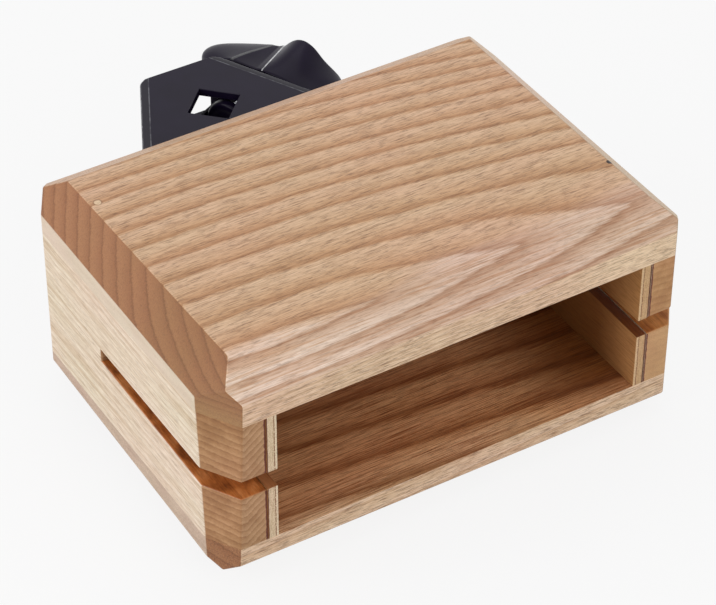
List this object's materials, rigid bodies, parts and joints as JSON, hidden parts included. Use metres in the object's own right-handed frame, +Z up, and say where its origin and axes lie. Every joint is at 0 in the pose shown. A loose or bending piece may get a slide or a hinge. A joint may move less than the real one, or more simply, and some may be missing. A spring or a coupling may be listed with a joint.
{
  "type": "wood block",
  "caption": "Hollow wooden percussion block with an open mouth, saw kerfs in both sides, and a rear bracket whose wing screw clamps an upright rod.",
  "frame": {"origin": "centre of the block's bottom face", "axes": "+X to the right along the mouth, +Y from the mouth to the clamp bracket, +Z up"},
  "size_m": [0.15, 0.1751, 0.0725],
  "materials": {
    "ash": "satin lacquer over open grain",
    "pale_ash": "satin lacquer over open grain",
    "plywood": "thin veneers, edges sanded",
    "black_plastic": "satin moulded",
    "steel": "zinc plated"
  },
  "bodies": {
    "block": {"top_board": "ash", "bottom_board": "ash", "back_wall": "ash", "left_wall": "pale_ash", "right_wall": "pale_ash", "left_liner": "plywood", "right_liner": "plywood", "bracket_housing": "black_plastic", "bracket_screw_1": "steel", "bracket_screw_2": "steel", "bracket_screw_3": "steel", "bracket_screw_4": "steel", "clamp_nut": "steel"},
    "pressure_pad": {"pressure_pad": "black_plastic"},
    "wing_screw": {"clamp_screw": "steel", "wing_knob": "black_plastic"}
  },
  "joints": [
    {"name": "pad_slide", "type": "slide", "parent": "block", "child": "pressure_pad", "axis": [0.8926, 0.4509, 0], "range_m": [-0.00401, 0.00601]},
    {"name": "wing_turn", "type": "hinge", "parent": "pressure_pad", "child": "wing_screw", "pos_m": [0, 0.08165, 0.0402], "axis": [0.8926, 0.4509, 0], "range_deg": [-1440, 2160]}
  ],
  "couplings": [
    {"joint": "pad_slide", "follows": "wing_turn", "m_per_rad": 0.00015915}
  ]
}
